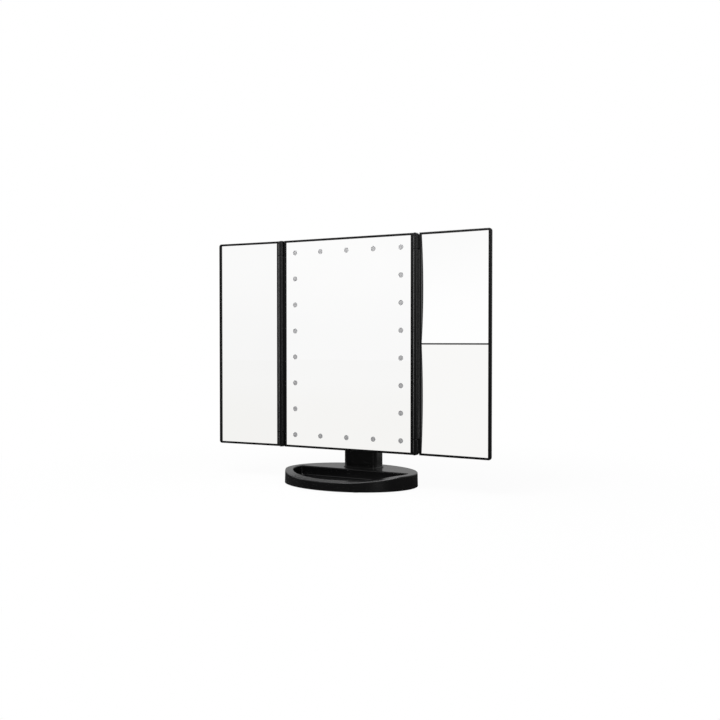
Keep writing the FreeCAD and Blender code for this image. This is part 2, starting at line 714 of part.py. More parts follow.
def battery_springs():
    """Tapered contact springs at the flat ends of the cells, as plain cones."""
    cones = []
    for index in range(CELL_COUNT):
        nub_up = index % 2 == 0
        z = BAY_BOTTOM_Z + CONTACT_T if nub_up else BAY_TOP_Z - CONTACT_T
        way = AXIS_Z if nub_up else -AXIS_Z
        wide_end = V(cell_x(index), deep(CELL_AXIS), z)
        cones.append(Part.makeCone(SPRING_R, SPRING_TIP_R, SPRING_L, wide_end, way))
    return group(cones)


def power_leads():
    """Straight leads from the lower contacts to the back of the control board."""
    length = BAY_BOTTOM_Z - BOARD_TOP_Z + LEAD_LAP
    low = BOARD_TOP_Z - LEAD_LAP
    return group([rod(AXIS_Z, LEAD_R, length, x, deep(LEAD_DEPTH), low) for x in power_lead_places()])


def light_leads():
    """Short leads from the control board forward to the light board."""
    start = FLOOR_BACK + LED_BOARD_T
    length = BOARD_DEPTH - start
    places = (-LIGHT_LEAD_X, LIGHT_LEAD_X)
    return group([rod(AXIS_Y, LEAD_R, length, x, deep(start), LED_BOTTOM_Z) for x in places])


def hinge_pins():
    """Upper and lower pin of the right hinge, fixed in the barrel and turning in the wing's knuckles."""
    y = deep(-AXIS_FORWARD)
    low = WING_BOTTOM_Z + PIN_END_INSET
    high = WING_TOP_Z - PIN_END_INSET
    low_l = BARREL_BOTTOM_Z + PIN_IN_BARREL - low
    high_l = high - BARREL_TOP_Z + PIN_IN_BARREL
    return [
        rod(AXIS_Z, PIN_R, low_l, HINGE_X, y, low),
        rod(AXIS_Z, PIN_R, high_l, HINGE_X, y, high - high_l),
    ]


def wing_panes(divided):
    """Lower and upper edge of each mirror opening in a wing."""
    low = WING_BOTTOM_Z + WING_END_RIM
    high = WING_TOP_Z - WING_END_RIM
    if not divided:
        return [(low, high)]
    middle = PANEL_MID_Z + DIVIDER_RISE
    return [(low, middle - DIVIDER_W / 2), (middle + DIVIDER_W / 2, high)]


def wing_knuckle(z0, z1, outer_z):
    """One end knuckle of the right wing, its end slanting towards the wing, with the web that carries it."""
    y = deep(-AXIS_FORWARD)
    knuckle = rod(AXIS_Z, BARREL_R, z1 - z0, HINGE_X, y, z0)
    knuckle = knuckle.makeFillet(KNUCKLE_END_R, edges_at_z(knuckle, outer_z))
    inward = KNUCKLE_SLANT if outer_z == z0 else -KNUCKLE_SLANT
    corners = [
        V(HINGE_X, y - BARREL_R, outer_z),
        V(HINGE_X + 2 * BARREL_R, y - BARREL_R, outer_z - inward),
        V(HINGE_X + 2 * BARREL_R, y - BARREL_R, outer_z + 2 * inward),
    ]
    wedge = Part.Face(Part.makePolygon(corners + corners[:1])).extrude(V(0, 2 * BARREL_R, 0))
    low = z0 + (KNUCKLE_NOTCH if outer_z == z0 else BARREL_END_R)
    high = z1 - (KNUCKLE_NOTCH if outer_z == z1 else BARREL_END_R)
    web = box(HINGE_X, WING_INNER_X + WING_HINGE_RIM / 2, deep(0), deep(HINGE_WEB_T), low, high)
    return knuckle.cut(wedge).fuse(web)


def wing_tray(divided):
    """Right-hand wing laid flat: thin tray with a rounded back, mirror openings and two end knuckles."""
    block = box(WING_INNER_X, WING_OUTER_X, deep(0), deep(WING_D), WING_BOTTOM_Z, WING_TOP_Z)
    behind = edges_at_y(block, deep(WING_D))
    back = [edge for edge in behind if edge.BoundBox.XMax > WING_INNER_X + WING_BACK_R]
    block = block.makeFillet(WING_BACK_R, back)
    corners = [edge for edge in straight_edges(block, AXIS_Y) if edge.BoundBox.XMin > WING_OUTER_X - 1e-4]
    block = block.makeFillet(WING_CORNER_R, corners)
    block = block.makeFillet(RIM_SOFT_R, edges_at_y(block, deep(0)))
    rooms = []
    for z0, z1 in wing_panes(divided):
        room = box(PANE_X0, PANE_X1, deep(-RIM_SOFT_R), deep(WING_FLOOR_FRONT), z0, z1)
        rooms.append(room.makeFillet(WING_POCKET_R, edges_at_y(room, deep(WING_FLOOR_FRONT))))
    low = wing_knuckle(WING_BOTTOM_Z, WING_BOTTOM_Z + KNUCKLE_L, WING_BOTTOM_Z)
    high = wing_knuckle(WING_TOP_Z - KNUCKLE_L, WING_TOP_Z, WING_TOP_Z)
    tray = block.cut(rooms).fuse([low, high]).removeSplitter()
    return tray.cut(rod(AXIS_Z, PIN_R + PIN_RUN, WING_H, HINGE_X, deep(-AXIS_FORWARD), WING_BOTTOM_Z))


def flat_wing_mirror():
    low, high = wing_panes(False)[0]
    back = WING_MIRROR_SETBACK + GLASS_T
    return box(
        PANE_X0 + GLASS_CLEAR, PANE_X1 - GLASS_CLEAR, deep(WING_MIRROR_SETBACK), deep(back),
        low + GLASS_CLEAR, high - GLASS_CLEAR,
    )


def flat_wing_foam():
    low, high = wing_panes(False)[0]
    front = WING_MIRROR_SETBACK + GLASS_T
    return box(
        PANE_X0 + FOAM_INSET, PANE_X1 - FOAM_INSET, deep(front), deep(WING_FLOOR_FRONT),
        low + FOAM_INSET, high - FOAM_INSET,
    )


def bowl(pane, radius, grow):
    """Ball whose surface is a concave mirror's front, or its back where it is grown by the glass."""
    low, high = pane
    half_w = (PANE_X1 - PANE_X0) / 2 - GLASS_CLEAR
    half_h = (high - low) / 2 - GLASS_CLEAR
    sag = radius - math.sqrt(radius ** 2 - half_w ** 2 - half_h ** 2)
    middle = V((PANE_X0 + PANE_X1) / 2, deep(CONCAVE_SETBACK + sag) - radius, (low + high) / 2)
    return Part.makeSphere(radius + grow, middle)


def concave_mirror(pane, radius):
    """Bent glass of even thickness, its corners near the wing's rim and its middle furthest back."""
    low, high = pane
    plate = box(
        PANE_X0 + GLASS_CLEAR, PANE_X1 - GLASS_CLEAR, deep(0), deep(WING_D),
        low + GLASS_CLEAR, high - GLASS_CLEAR,
    )
    return plate.common(bowl(pane, radius, CONCAVE_T)).cut(bowl(pane, radius, 0))


def concave_foam(pane, radius):
    low, high = pane
    pad = box(
        PANE_X0 + FOAM_INSET, PANE_X1 - FOAM_INSET, deep(0), deep(WING_FLOOR_FRONT),
        low + FOAM_INSET, high - FOAM_INSET,
    )
    return pad.cut(bowl(pane, radius, CONCAVE_T))


def at_right_rest(shape):
    turned = shape.copy()
    turned.rotate(V(HINGE_X, deep(-AXIS_FORWARD), 0), AXIS_Z, -RIGHT_REST_DEG)
    return turned


def at_left_rest(shape):
    turned = mirrored(shape)
    turned.rotate(V(-HINGE_X, deep(-AXIS_FORWARD), 0), AXIS_Z, LEFT_REST_DEG)
    return turned


def neck_outline(margin, z0, z1):
    half = NECK_W / 2 + margin
    radius = NECK_CORNER_R + margin
    return rounded_box(-half, half, NECK_FRONT_Y - margin, NECK_BACK_Y + margin, z0, z1, AXIS_Z, radius)


def tenon(margin, z0, z1):
    half = NECK_W / 2 - TENON_INSET + margin
    return box(-half, half, NECK_FRONT_Y + TENON_INSET - margin, NECK_BACK_Y - TENON_INSET + margin, z0, z1)


def clamp_screw_places():
    low = DECK_Z + NECK_SOLID_FOOT / 2
    high = SHOULDER_Z - NECK_SOLID_TOP / 2
    return [(side * CLAMP_SCREW_X, z) for side in (-1, 1) for z in (low, high)]


def foot_screw_places():
    return [(side * FOOT_SCREW_X, NECK_MID_Y) for side in (-1, 1)]


def neck_half(y0, y1):
    """One half of the neck, split through the tilt axis: hollow column, tongue on top and tenon below."""
    column = neck_outline(0, DECK_Z, SHOULDER_Z)
    column = column.makeFillet(NECK_TOP_R, edges_at_z(column, SHOULDER_Z))
    half = TONGUE_W / 2
    eye = rod(AXIS_X, TONGUE_R, TONGUE_W, -half, TILT_Y, TILT_Z)
    stalk = box(-half, half, TILT_Y - TONGUE_R, TILT_Y + TONGUE_R, SHOULDER_Z - NECK_SOLID_TOP / 2, TILT_Z)
    neck = column.fuse([eye, stalk, tenon(0, TENON_BOTTOM_Z, DECK_Z + NECK_SOLID_FOOT / 2)]).removeSplitter()
    room = rounded_box(
        -NECK_W / 2 + NECK_WALL, NECK_W / 2 - NECK_WALL, NECK_FRONT_Y + NECK_WALL, NECK_BACK_Y - NECK_WALL,
        DECK_Z + NECK_SOLID_FOOT, SHOULDER_Z - NECK_SOLID_TOP, AXIS_Z, NECK_CORNER_R - NECK_WALL,
    )
    cuts = [room, rod(AXIS_X, SHAFT_R + SHAFT_RUN, TONGUE_W, -half, TILT_Y, TILT_Z)]
    pocket_l = NECK_BACK_Y - CLAMP_SEAT_Y
    for x, z in clamp_screw_places():
        cuts.append(rod(AXIS_Y, SCREW_HEAD_R + SCREW_POCKET_CLEAR, pocket_l, x, CLAMP_SEAT_Y, z))
        cuts.append(rod(AXIS_Y, SCREW_R + SCREW_FIT, CLAMP_SEAT_Y - CLAMP_END_Y, x, CLAMP_END_Y, z))
    for x, y in foot_screw_places():
        cuts.append(rod(AXIS_Z, SCREW_R + SCREW_FIT, SCREW_GRIP, x, y, TENON_BOTTOM_Z))
    reach = NECK_W + 2 * EAR_T
    slab = box(-reach, reach, y0, y1, 0, TILT_Z + 2 * TONGUE_R)
    return neck.cut(cuts).common(slab)


def neck_clamp_screws():
    length = CLAMP_SEAT_Y - CLAMP_END_Y
    return group([housing_screw(-AXIS_Y, x, CLAMP_SEAT_Y, z, length) for x, z in clamp_screw_places()])


def neck_foot_screws():
    length = SCREW_SEAT + SCREW_GRIP
    seat_z = TENON_BOTTOM_Z - SCREW_SEAT
    return group([housing_screw(AXIS_Z, x, y, seat_z, length) for x, y in foot_screw_places()])


def tilt_shaft():
    x0 = HEAD_INSET - EAR_OUTER_X
    head = rod(AXIS_X, SHAFT_HEAD_R, SHAFT_HEAD_T, x0, TILT_Y, TILT_Z)
    shank = rod(AXIS_X, SHAFT_R, -2 * x0, x0, TILT_Y, TILT_Z)
    arm = SHAFT_HEAD_R * DRIVE_REACH
    slot = SHAFT_HEAD_R * DRIVE_SLOT
    drive = box(x0, x0 + SHAFT_HEAD_T / 2, TILT_Y - arm, TILT_Y + arm, TILT_Z - slot, TILT_Z + slot)
    return head.fuse(shank).removeSplitter().cut(drive)


def tilt_nut():
    x0 = EAR_OUTER_X - HEAD_INSET - NUT_T
    outline = []
    for index in range(6):
        turn = math.radians(60 * index)
        outline.append((TILT_Y + SHAFT_HEAD_R * math.cos(turn), TILT_Z + SHAFT_HEAD_R * math.sin(turn)))
    bore = rod(AXIS_X, SHAFT_R + SHAFT_FIT, NUT_T, x0, TILT_Y, TILT_Z)
    return side_profile(outline, x0, x0 + NUT_T).cut(bore)


def tilt_washers():
    rings = []
    for x0 in (-EAR_INNER_X, EAR_INNER_X - WASHER_T):
        disc = rod(AXIS_X, WASHER_R, WASHER_T, x0, TILT_Y, TILT_Z)
        rings.append(disc.cut(rod(AXIS_X, SHAFT_R + SHAFT_FIT, WASHER_T, x0, TILT_Y, TILT_Z)))
    return group(rings)


def tray_room():
    """The tray's hollow: an oval cut off by a straight back, with a rounded floor edge."""
    a = BASE_A - BASE_DRAFT - RIM_SIDE_W
    b = BASE_B - BASE_DRAFT - RIM_FRONT_W
    room = oval(a, b, TRAY_FLOOR_Z, DECK_Z + TRAY_FLOOR_R).common(
        box(-BASE_A, BASE_A, -BASE_B, TRAY_BACK_Y, TRAY_FLOOR_Z, DECK_Z + TRAY_FLOOR_R)
    )
    at_back = [edge for edge in room.Edges if edge.BoundBox.YMin > TRAY_BACK_Y - 1e-3]
    ends = [edge for edge in at_back if edge.BoundBox.XLength < 1e-3]
    room = room.makeFillet(TRAY_CORNER_R, ends)
    return room.makeFillet(TRAY_FLOOR_R, edges_at_z(room, TRAY_FLOOR_Z))


def base_solid():
    """Drafted oval block whose top slopes down towards the front, with a soft upper edge."""
    low = Part.Wire([Part.Ellipse(V(0, 0, FOOT_PROUD), BASE_A, BASE_B).toShape()])
    top = Part.Ellipse(V(0, 0, DECK_Z), BASE_A - BASE_DRAFT, BASE_B - BASE_DRAFT)
    block = Part.makeLoft([low, Part.Wire([top.toShape()])], True, True)
    reach = BASE_B + BASE_WALL
    fall = SLOPE_RISE * (reach + SLOPE_START_Y)
    over = DECK_Z + BASE_WALL
    wedge = [(SLOPE_START_Y, DECK_Z), (-reach, DECK_Z - fall), (-reach, over), (SLOPE_START_Y, over)]
    block = block.cut(side_profile(wedge, -BASE_A, BASE_A))
    crease = [edge for edge in block.Edges if max(edge.BoundBox.YLength, edge.BoundBox.ZLength) < 1e-3]
    block = block.makeFillet(SLOPE_BLEND_R, crease)
    upper = [edge for edge in block.Edges if edge.BoundBox.ZMin > FOOT_PROUD + 1e-3]
    rim = [edge for edge in upper if edge.BoundBox.YLength > 1e-3]
    return block.makeFillet(BASE_SOFT_R, rim)


def base_screw_places():
    a = BASE_A - BASE_WALL - BASE_SCREW_INSET
    b = BASE_B - BASE_WALL - BASE_SCREW_INSET
    rear = math.radians(BASE_SCREW_REAR_DEG)
    front = math.radians(BASE_SCREW_FRONT_DEG)
    return [(side * a * math.cos(turn), b * math.sin(turn)) for side in (-1, 1) for turn in (rear, front)]


def base_hollow(inset, z0, z1):
    """The room behind the tray, drawn in from the walls by an inset."""
    a = BASE_A - BASE_DRAFT - BASE_WALL - inset
    b = BASE_B - BASE_DRAFT - BASE_WALL - inset
    return oval(a, b, z0, z1).common(box(-BASE_A, BASE_A, TRAY_BACK_Y + BASE_WALL + inset, BASE_B, z0, z1))


def soft_lip(shell):
    """Round the upper edge of the tray's wall."""
    a = BASE_A - BASE_DRAFT - RIM_SIDE_W + TRAY_LIP_R / 2
    b = BASE_B - BASE_DRAFT - RIM_FRONT_W + TRAY_LIP_R / 2
    low = TRAY_FLOOR_Z + TRAY_FLOOR_R + TRAY_LIP_R
    lip = []
    for edge in shell.Edges:
        middle = edge.valueAt((edge.FirstParameter + edge.LastParameter) / 2)
        if edge.BoundBox.ZMin > low and (middle.x / a) ** 2 + (middle.y / b) ** 2 < 1:
            lip.append(edge)
    return shell.makeFillet(TRAY_LIP_R, lip)


def base_shell():
    """Top of the base: tray in front, hollow deck behind it, a collar round the neck and its socket below."""
    shell = soft_lip(base_solid().cut(tray_room()))
    shell = shell.cut([
        oval(BASE_A - BASE_WALL, BASE_B - BASE_WALL, FOOT_PROUD, PLATE_TOP_Z),
        base_hollow(0, PLATE_TOP_Z, DECK_Z - DECK_T),
    ])
    socket = tenon(TENON_CLEAR + SOCKET_WALL, PLATE_TOP_Z + PLATE_CLEAR, DECK_Z - DECK_T / 2)
    collar = neck_outline(NECK_COLLAR, DECK_Z - DECK_T / 2, DECK_Z + NECK_COLLAR_H)
    collar = collar.makeFillet(NECK_COLLAR / 2, edges_at_z(collar, DECK_Z + NECK_COLLAR_H))
    posts = [
        rod(AXIS_Z, SCREW_POST_R, DECK_Z - DECK_T / 2 - PLATE_TOP_Z, x, y, PLATE_TOP_Z)
        for x, y in base_screw_places() if y > 0
    ]
    shell = shell.fuse([socket, collar] + posts).removeSplitter()
    seat_z = TENON_BOTTOM_Z - SCREW_SEAT
    cuts = [
        neck_outline(TENON_CLEAR, DECK_Z, DECK_Z + NECK_COLLAR_H),
        tenon(TENON_CLEAR, TENON_BOTTOM_Z, DECK_Z),
    ]
    for x, y in foot_screw_places():
        cuts.append(rod(AXIS_Z, SCREW_HEAD_R + SCREW_POCKET_CLEAR, seat_z - PLATE_TOP_Z, x, y, PLATE_TOP_Z))
        cuts.append(rod(AXIS_Z, SCREW_R + SCREW_FIT, SCREW_SEAT, x, y, seat_z))
    for x, y in base_screw_places():
        cuts.append(rod(AXIS_Z, THIN_SCREW_R + SCREW_FIT, THIN_GRIP, x, y, PLATE_TOP_Z))
    return shell.cut(cuts)


def foot_places():
    turn = math.radians(FOOT_ANGLE_DEG)
    x = (BASE_A - FOOT_INSET) * math.cos(turn)
    y = (BASE_B - FOOT_INSET) * math.sin(turn)
    return [(x, y), (-x, y), (-x, -y), (x, -y)]


def base_plate():
    """Oval bottom plate with shallow seats for the feet and sunk holes for its screws."""
    inset = BASE_WALL + PLATE_CLEAR
    plate = oval(BASE_A - inset, BASE_B - inset, FOOT_PROUD, PLATE_TOP_Z)
    cuts = [rod(AXIS_Z, FOOT_R, FOOT_RECESS, x, y, FOOT_PROUD) for x, y in foot_places()]
    head_room = PLATE_SEAT_Z - FOOT_PROUD
    for x, y in base_screw_places():
        cuts.append(rod(AXIS_Z, THIN_HEAD_R + SCREW_POCKET_CLEAR, head_room, x, y, FOOT_PROUD))
        cuts.append(rod(AXIS_Z, THIN_SCREW_R + SCREW_FIT, PLATE_T, x, y, FOOT_PROUD))
    return plate.cut(cuts)


def base_screws():
    length = PLATE_TOP_Z - PLATE_SEAT_Z + THIN_GRIP
    return group([thin_screw(AXIS_Z, x, y, PLATE_SEAT_Z, length) for x, y in base_screw_places()])


def base_feet():
    feet = []
    for x, y in foot_places():
        foot = rod(AXIS_Z, FOOT_R, FOOT_PROUD + FOOT_RECESS, x, y, 0)
        feet.append(foot.makeFillet(FOOT_SOFT_R, edges_at_z(foot, 0)))
    return group(feet)


def base_ballast():
    """Steel plate in the hollow behind the tray, cut away round the neck's socket and the screw posts."""
    z1 = PLATE_TOP_Z + BALLAST_T
    plate = base_hollow(BALLAST_CLEAR, PLATE_TOP_Z, z1)
    cuts = [tenon(TENON_CLEAR + SOCKET_WALL + BALLAST_CLEAR, PLATE_TOP_Z, z1)]
    for x, y in base_screw_places():
        cuts.append(rod(AXIS_Z, SCREW_POST_R + BALLAST_CLEAR, BALLAST_T, x, y, PLATE_TOP_Z))
    return plate.cut(cuts)


def pieces():
    """Every node of the assembly, by name."""
    lower_pane, upper_pane = wing_panes(True)
    pins = hinge_pins()
    return {
        "base_shell": base_shell(),
        "base_plate": base_plate(),
        "base_ballast": base_ballast(),
        "base_feet": base_feet(),
        "base_screws": base_screws(),
        "neck_front": neck_half(0, TILT_Y),
        "neck_rear": neck_half(TILT_Y, NECK_BACK_Y + NECK_WALL),
        "neck_clamp_screws": neck_clamp_screws(),
        "neck_foot_screws": neck_foot_screws(),
        "tilt_shaft": tilt_shaft(),
        "tilt_nut": tilt_nut(),
        "tilt_washers": tilt_washers(),
        "center_frame": center_frame(),
        "center_mirror": center_mirror(),
        "mirror_tape": mirror_tape(),
        "led_lenses": led_lenses(),
        "led_board": led_board(),
        "leds": leds(),
        "touch_pad": touch_pad(),
        "control_board": control_board(),
        "board_screws": board_screws(),
        "usb_socket": usb_socket(),
        "switch_body": switch_body(),
        "switch_knob": switch_knob(),
        "rear_cover": rear_cover(),
        "rear_cover_screws": rear_cover_screws(),
        "battery_cover": battery_cover(),
        "battery_cells": battery_cells(),
        "battery_contacts": battery_contacts(),
        "battery_springs": battery_springs(),
        "power_leads": power_leads(),
        "light_leads": light_leads(),
        "left_hinge_pins": group([mirrored(pin) for pin in pins]),
        "right_hinge_pins": group(pins),
        "left_wing_tray": at_left_rest(wing_tray(False)),
        "left_mirror": at_left_rest(flat_wing_mirror()),
        "left_mirror_foam": at_left_rest(flat_wing_foam()),
        "right_wing_tray": at_right_rest(wing_tray(True)),
        "right_upper_mirror": at_right_rest(concave_mirror(upper_pane, UPPER_RADIUS)),
        "right_lower_mirror": at_right_rest(concave_mirror(lower_pane, LOWER_RADIUS)),
        "right_upper_foam": at_right_rest(concave_foam(upper_pane, UPPER_RADIUS)),
        "right_lower_foam": at_right_rest(concave_foam(lower_pane, LOWER_RADIUS)),
    }


os.makedirs("parts", exist_ok=True)
for name, shape in pieces().items():
    shape.exportStep("parts/" + name + ".step")
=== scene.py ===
"""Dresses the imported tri-fold makeup mirror: finishes, smooth magnifying glasses, springs and light."""
import math

import bmesh
import bpy
from mathutils import Matrix, Vector


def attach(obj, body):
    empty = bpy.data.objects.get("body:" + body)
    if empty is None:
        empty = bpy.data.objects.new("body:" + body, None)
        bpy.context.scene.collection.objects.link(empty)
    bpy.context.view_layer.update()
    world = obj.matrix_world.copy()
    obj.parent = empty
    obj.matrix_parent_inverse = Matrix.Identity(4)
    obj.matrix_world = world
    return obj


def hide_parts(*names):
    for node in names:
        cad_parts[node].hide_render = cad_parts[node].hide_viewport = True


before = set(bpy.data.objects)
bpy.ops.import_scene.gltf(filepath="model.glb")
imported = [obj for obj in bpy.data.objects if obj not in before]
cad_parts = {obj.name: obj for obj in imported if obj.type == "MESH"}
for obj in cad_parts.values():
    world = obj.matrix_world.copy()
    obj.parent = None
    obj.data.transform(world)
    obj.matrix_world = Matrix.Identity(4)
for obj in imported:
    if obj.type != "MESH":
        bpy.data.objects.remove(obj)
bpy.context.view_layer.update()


# Base shell and bottom plate: satin black moulded plastic.
# The mould is spark-eroded, so the skin has a fine grain, and its gloss drifts a little from place to place.
class Wire:
    """A shader socket: signs between wires and numbers add Math nodes, and node() adds any other node."""

    def __init__(self, tree, socket=None):
        self.tree = tree
        self.socket = socket

    def node(self, kind, settings, values, output=0):
        """Adds a node and gives the wire of one output, or None where the node ends its tree."""
        made = self.tree.nodes.new(kind)
        for name, value in settings.items():
            setattr(made, name, value)
        for name, value in values.items():
            if isinstance(value, Wire):
                self.tree.links.new(value.socket, made.inputs[name])
            else:
                made.inputs[name].default_value = value
        return None if output is None else Wire(self.tree, made.outputs[output])

    def math(self, operation, first, second=0.0):
        return self.node("ShaderNodeMath", {"operation": operation}, {0: first, 1: second})

    def __add__(self, other):
        return self.math("ADD", self, other)

    def __sub__(self, other):
        return self.math("SUBTRACT", self, other)

    def __rsub__(self, other):
        return self.math("SUBTRACT", other, self)

    def __mul__(self, other):
        return self.math("MULTIPLY", self, other)

    def __truediv__(self, other):
        return self.math("DIVIDE", self, other)

    __radd__ = __add__
    __rmul__ = __mul__

    def ramp(self, low, high):
        """0 below low, 1 above high, smooth between."""
        ends = {"Value": self, "From Min": low, "From Max": high}
        return self.node("ShaderNodeMapRange", {"interpolation_type": "SMOOTHSTEP"}, ends)

    def noise(self, place, scale, detail):
        return self.node("ShaderNodeTexNoise", {}, {"Vector": place, "Scale": scale, "Detail": detail}, "Fac")

    def bump(self, height, strength, distance):
        relief = {"Height": height, "Strength": strength, "Distance": distance}
        return self.node("ShaderNodeBump", {}, relief, "Normal")

    def blend(self, first, second):
        """A colour between two, by this wire's value."""
        return self.node("ShaderNodeMix", {"data_type": "RGBA"}, {"Factor": self, 6: first, 7: second}, 2)

    def axes(self, place):
        """The three parts of a place."""
        split = self.node("ShaderNodeSeparateXYZ", {}, {"Vector": place}, "X")
        outputs = split.socket.node.outputs
        return [Wire(self.tree, outputs[name]) for name in "XYZ"]


def new_finish(name):
    """An empty material, a wire to make its nodes from, and the piece's own coordinates."""
    material = bpy.data.materials.new(name)
    material.use_nodes = True
    material.node_tree.nodes.clear()
    wire = Wire(material.node_tree)
    return material, wire, wire.node("ShaderNodeTexCoord", {}, {}, "Object")


def close_finish(wire, values):
    """Ends a material in one surface shader."""
    surface = wire.node("ShaderNodeBsdfPrincipled", {}, values)
    wire.node("ShaderNodeOutputMaterial", {}, {"Surface": surface}, None)


def dress(material, *names):
    """Gives a finish to solids that keep their own mesh."""
    for name in names:
        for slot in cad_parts[name].material_slots:
            slot.material = material


SATIN_BLACK = (0.0028, 0.0028, 0.0030, 1)
SATIN_BLACK_PALER = (0.0036, 0.0036, 0.0038, 1)
MOULD_GRAIN_SCALE = 2600.0
GLOSS_DRIFT_SCALE = 26.0
moulded_black, wire, place = new_finish("moulded_black")
grain = wire.noise(place, MOULD_GRAIN_SCALE, detail=1.0)
drift = wire.noise(place, GLOSS_DRIFT_SCALE, detail=3.0).ramp(0.35, 0.65)
close_finish(wire, {
    "Base Color": drift.blend(SATIN_BLACK, SATIN_BLACK_PALER),
    "Roughness": 0.21 + 0.02 * drift + 0.03 * grain,
    "Normal": wire.bump(grain, strength=0.10, distance=0.00002),
})
dress(moulded_black, "base_shell", "base_plate")

# Feet: four moulded rubber discs pressed into shallow seats under the bottom plate.
# Rubber is dull and slightly dusty, with a soft pebble.
RUBBER = (0.014, 0.014, 0.014, 1)
RUBBER_DUSTY = (0.024, 0.024, 0.023, 1)
PEBBLE_SCALE = 900.0
rubber_black, wire, place = new_finish("rubber_black")
pebble = wire.noise(place, PEBBLE_SCALE, detail=2.0)
close_finish(wire, {
    "Base Color": pebble.ramp(0.4, 0.7).blend(RUBBER, RUBBER_DUSTY),
    "Roughness": 0.72 + 0.14 * pebble,
    "Normal": wire.bump(pebble, strength=0.3, distance=0.0001),
})
dress(rubber_black, "base_feet")

# Ballast: a sawn steel plate that lies on the bottom plate, behind the tray.
# It is left raw, with streaks of mill scale.
BARE_STEEL = (0.30, 0.30, 0.31, 1)
MILL_SCALE = (0.12, 0.12, 0.13, 1)
SCALE_PATCH_SCALE = 60.0
raw_steel, wire, place = new_finish("raw_steel")
scale_patch = wire.noise(place, SCALE_PATCH_SCALE, detail=6.0).ramp(0.42, 0.62)
close_finish(wire, {
    "Base Color": scale_patch.blend(BARE_STEEL, MILL_SCALE),
    "Metallic": 1.0 - 0.3 * scale_patch,
    "Roughness": 0.42 + 0.25 * scale_patch,
})
dress(raw_steel, "base_ballast")

# Screws, tilt bolt and hinge pins: turned steel with a dark zinc finish.
# The finish is even, with a faint cloudiness from the bath.
ZINC = (0.10, 0.10, 0.11, 1)
ZINC_CLOUDY = (0.17, 0.17, 0.18, 1)
CLOUD_SCALE = 420.0
dark_zinc, wire, place = new_finish("dark_zinc")
cloud = wire.noise(place, CLOUD_SCALE, detail=3.0)
close_finish(wire, {
    "Base Color": cloud.blend(ZINC, ZINC_CLOUDY),
    "Metallic": 1.0,
    "Roughness": 0.30 + 0.16 * cloud,
})
dress(dark_zinc, "base_screws", "neck_clamp_screws", "neck_foot_screws", "board_screws", "rear_cover_screws")
dress(dark_zinc, "tilt_shaft", "tilt_nut", "left_hinge_pins", "right_hinge_pins")

# Neck: two mouldings screwed together across the tilt bolt.
# They come from the same black as the base.
dress(moulded_black, "neck_front", "neck_rear")

# Friction washers: pale nylon rings that hold the panel at its angle.
# They are smooth, with slight wear marks.
NYLON = (0.52, 0.50, 0.43, 1)
NYLON_WORN = (0.66, 0.64, 0.56, 1)
WEAR_SCALE = 700.0
nylon, wire, place = new_finish("nylon")
wear = wire.noise(place, WEAR_SCALE, detail=4.0)
close_finish(wire, {
    "Base Color": wear.blend(NYLON, NYLON_WORN),
    "Roughness": 0.35 + 0.2 * wear,
})
dress(nylon, "tilt_washers")

# Centre panel: a front frame with the fixed hinge barrels, and a rear cover with the ears for the tilt bolt.
# Both are the same satin black moulding.
dress(moulded_black, "center_frame", "rear_cover")

# Centre mirror: flat float glass, silvered behind, with a polished face.
# Wiping leaves very faint smears, which grey the silver a little.
SILVER = (0.972, 0.972, 0.970, 1)
SILVER_SMEARED = (0.962, 0.962, 0.959, 1)
SMEAR_SCALE = 9.0


def silvered_glass(name, clean, smeared):
    material, wire, place = new_finish(name)
    smear = wire.noise(place, SMEAR_SCALE, detail=5.0).ramp(0.45, 0.8)
    close_finish(wire, {"Base Color": smear.blend(clean, smeared), "Metallic": 1.0, "Roughness": 0.0})
    return material


silvered = silvered_glass("silvered_glass", SILVER, SILVER_SMEARED)
dress(silvered, "center_mirror")

# Mirror tape and foam pads: pale foam that holds each glass on its floor.
# Open cells show as pores.
FOAM_PORE = (0.50, 0.50, 0.48, 1)
FOAM = (0.74, 0.74, 0.72, 1)
PORE_SCALE = 1400.0
pale_foam, wire, place = new_finish("pale_foam")
pores = wire.node("ShaderNodeTexVoronoi", {}, {"Vector": place, "Scale": PORE_SCALE}, "Distance")
close_finish(wire, {
    "Base Color": pores.ramp(0.1, 0.6).blend(FOAM_PORE, FOAM),
    "Roughness": 0.9,
    "Normal": wire.bump(pores, strength=0.5, distance=0.0003),
})
dress(pale_foam, "mirror_tape", "left_mirror_foam", "right_upper_foam", "right_lower_foam")

# Light windows: round frosted windows in the silver, one over each light.
# Unlit, each is grey with a paler middle, where the light's own face shows through.
LIGHT_HALF_W = 0.06985
LIGHT_STEP_X = 0.034925
LIGHT_LOW_Z = 0.05455
LIGHT_STEP_Z = 0.0306714
WINDOW_GREY = (0.45, 0.45, 0.46, 1)
WINDOW_MIDDLE = (0.53, 0.53, 0.53, 1)
MIDDLE_R = 0.0006
MIDDLE_FADED_R = 0.0017
FROST_SCALE = 3200.0


def from_nearest_light(wire, place):
    """Distance in the mirror's plane from the middle of the nearest light."""
    x, _, z = wire.axes(place)
    along_x = (x + LIGHT_HALF_W) / LIGHT_STEP_X + 0.5
    along_z = (z - LIGHT_LOW_Z) / LIGHT_STEP_Z + 0.5
    dx = (wire.math("FRACT", along_x) - 0.5) * LIGHT_STEP_X
    dz = (wire.math("FRACT", along_z) - 0.5) * LIGHT_STEP_Z
    return wire.math("SQRT", dx * dx + dz * dz)


